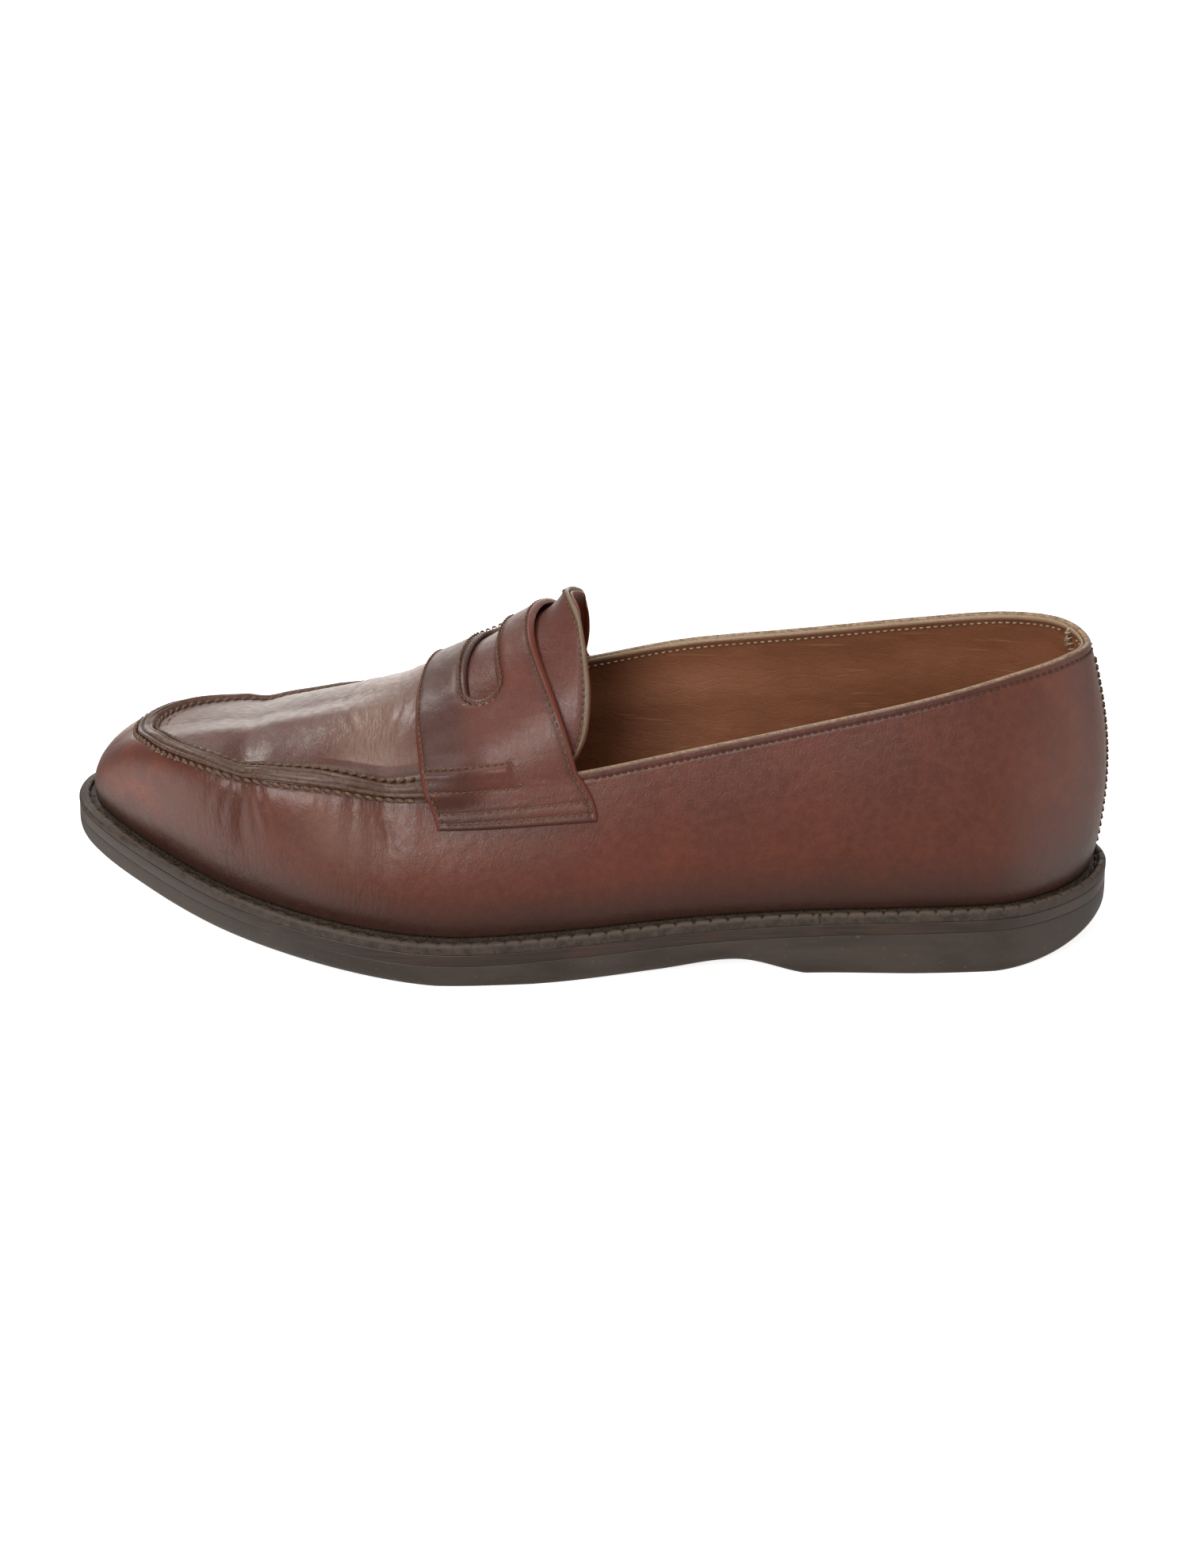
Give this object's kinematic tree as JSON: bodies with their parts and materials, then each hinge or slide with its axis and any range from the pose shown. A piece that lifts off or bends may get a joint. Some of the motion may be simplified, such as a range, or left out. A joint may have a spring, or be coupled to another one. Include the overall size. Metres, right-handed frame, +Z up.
{
  "type": "penny loafer",
  "caption": "Slip-on leather shoe for the left foot, with a stitched apron toe, a slotted saddle strap, a flexing tongue, a leather lining and a stitched rubber sole.",
  "frame": {"origin": "middle of the sole's outline, on the ground", "axes": "+X from toe to heel, +Y towards the inner side of the foot, +Z up"},
  "size_m": [0.2952, 0.1036, 0.0991],
  "materials": {
    "rubber_sole": "satin, worn",
    "midsole_leather": "waxed edge",
    "welt_leather": "waxed, wheeled",
    "upper_leather": "polished, creased",
    "strap_leather": "polished",
    "lining_leather": "smooth, worn",
    "tongue_lining_leather": "smooth",
    "insole_leather": "matt",
    "heavy_thread": "waxed",
    "fine_thread": "waxed",
    "cork": "matt",
    "steel": "brushed",
    "stiffener": "matt"
  },
  "bodies": {
    "shoe": {"outsole": "rubber_sole", "midsole": "midsole_leather", "welt": "welt_leather", "welt_stitching": "heavy_thread", "insole_rib": "stiffener", "inseam_stitching": "heavy_thread", "cork_filler": "cork", "shank": "steel", "insole": "insole_leather", "heel_pad": "lining_leather", "upper_wall": "upper_leather", "heel_counter": "stiffener", "toe_puff": "stiffener", "quarter_lining_lateral": "lining_leather", "quarter_lining_medial": "lining_leather", "vamp_lining": "insole_leather", "apron": "upper_leather", "apron_lining": "insole_leather", "apron_stitching": "heavy_thread", "saddle_strap": "strap_leather", "strap_stitching": "fine_thread", "topline_stitching": "fine_thread", "back_seam_stitching": "heavy_thread", "lining_seam_stitching": "fine_thread"},
    "tongue": {"tongue": "upper_leather", "tongue_lining": "tongue_lining_leather", "tongue_stitching": "fine_thread"}
  },
  "joints": [
    {"name": "tongue_flex", "type": "hinge", "parent": "shoe", "child": "tongue", "pos_m": [-0.0208, -0.0022, 0.0855], "axis": [0, 1, 0], "range_deg": [-2, 10], "stiffness_Nm_per_rad": 0.08}
  ]
}
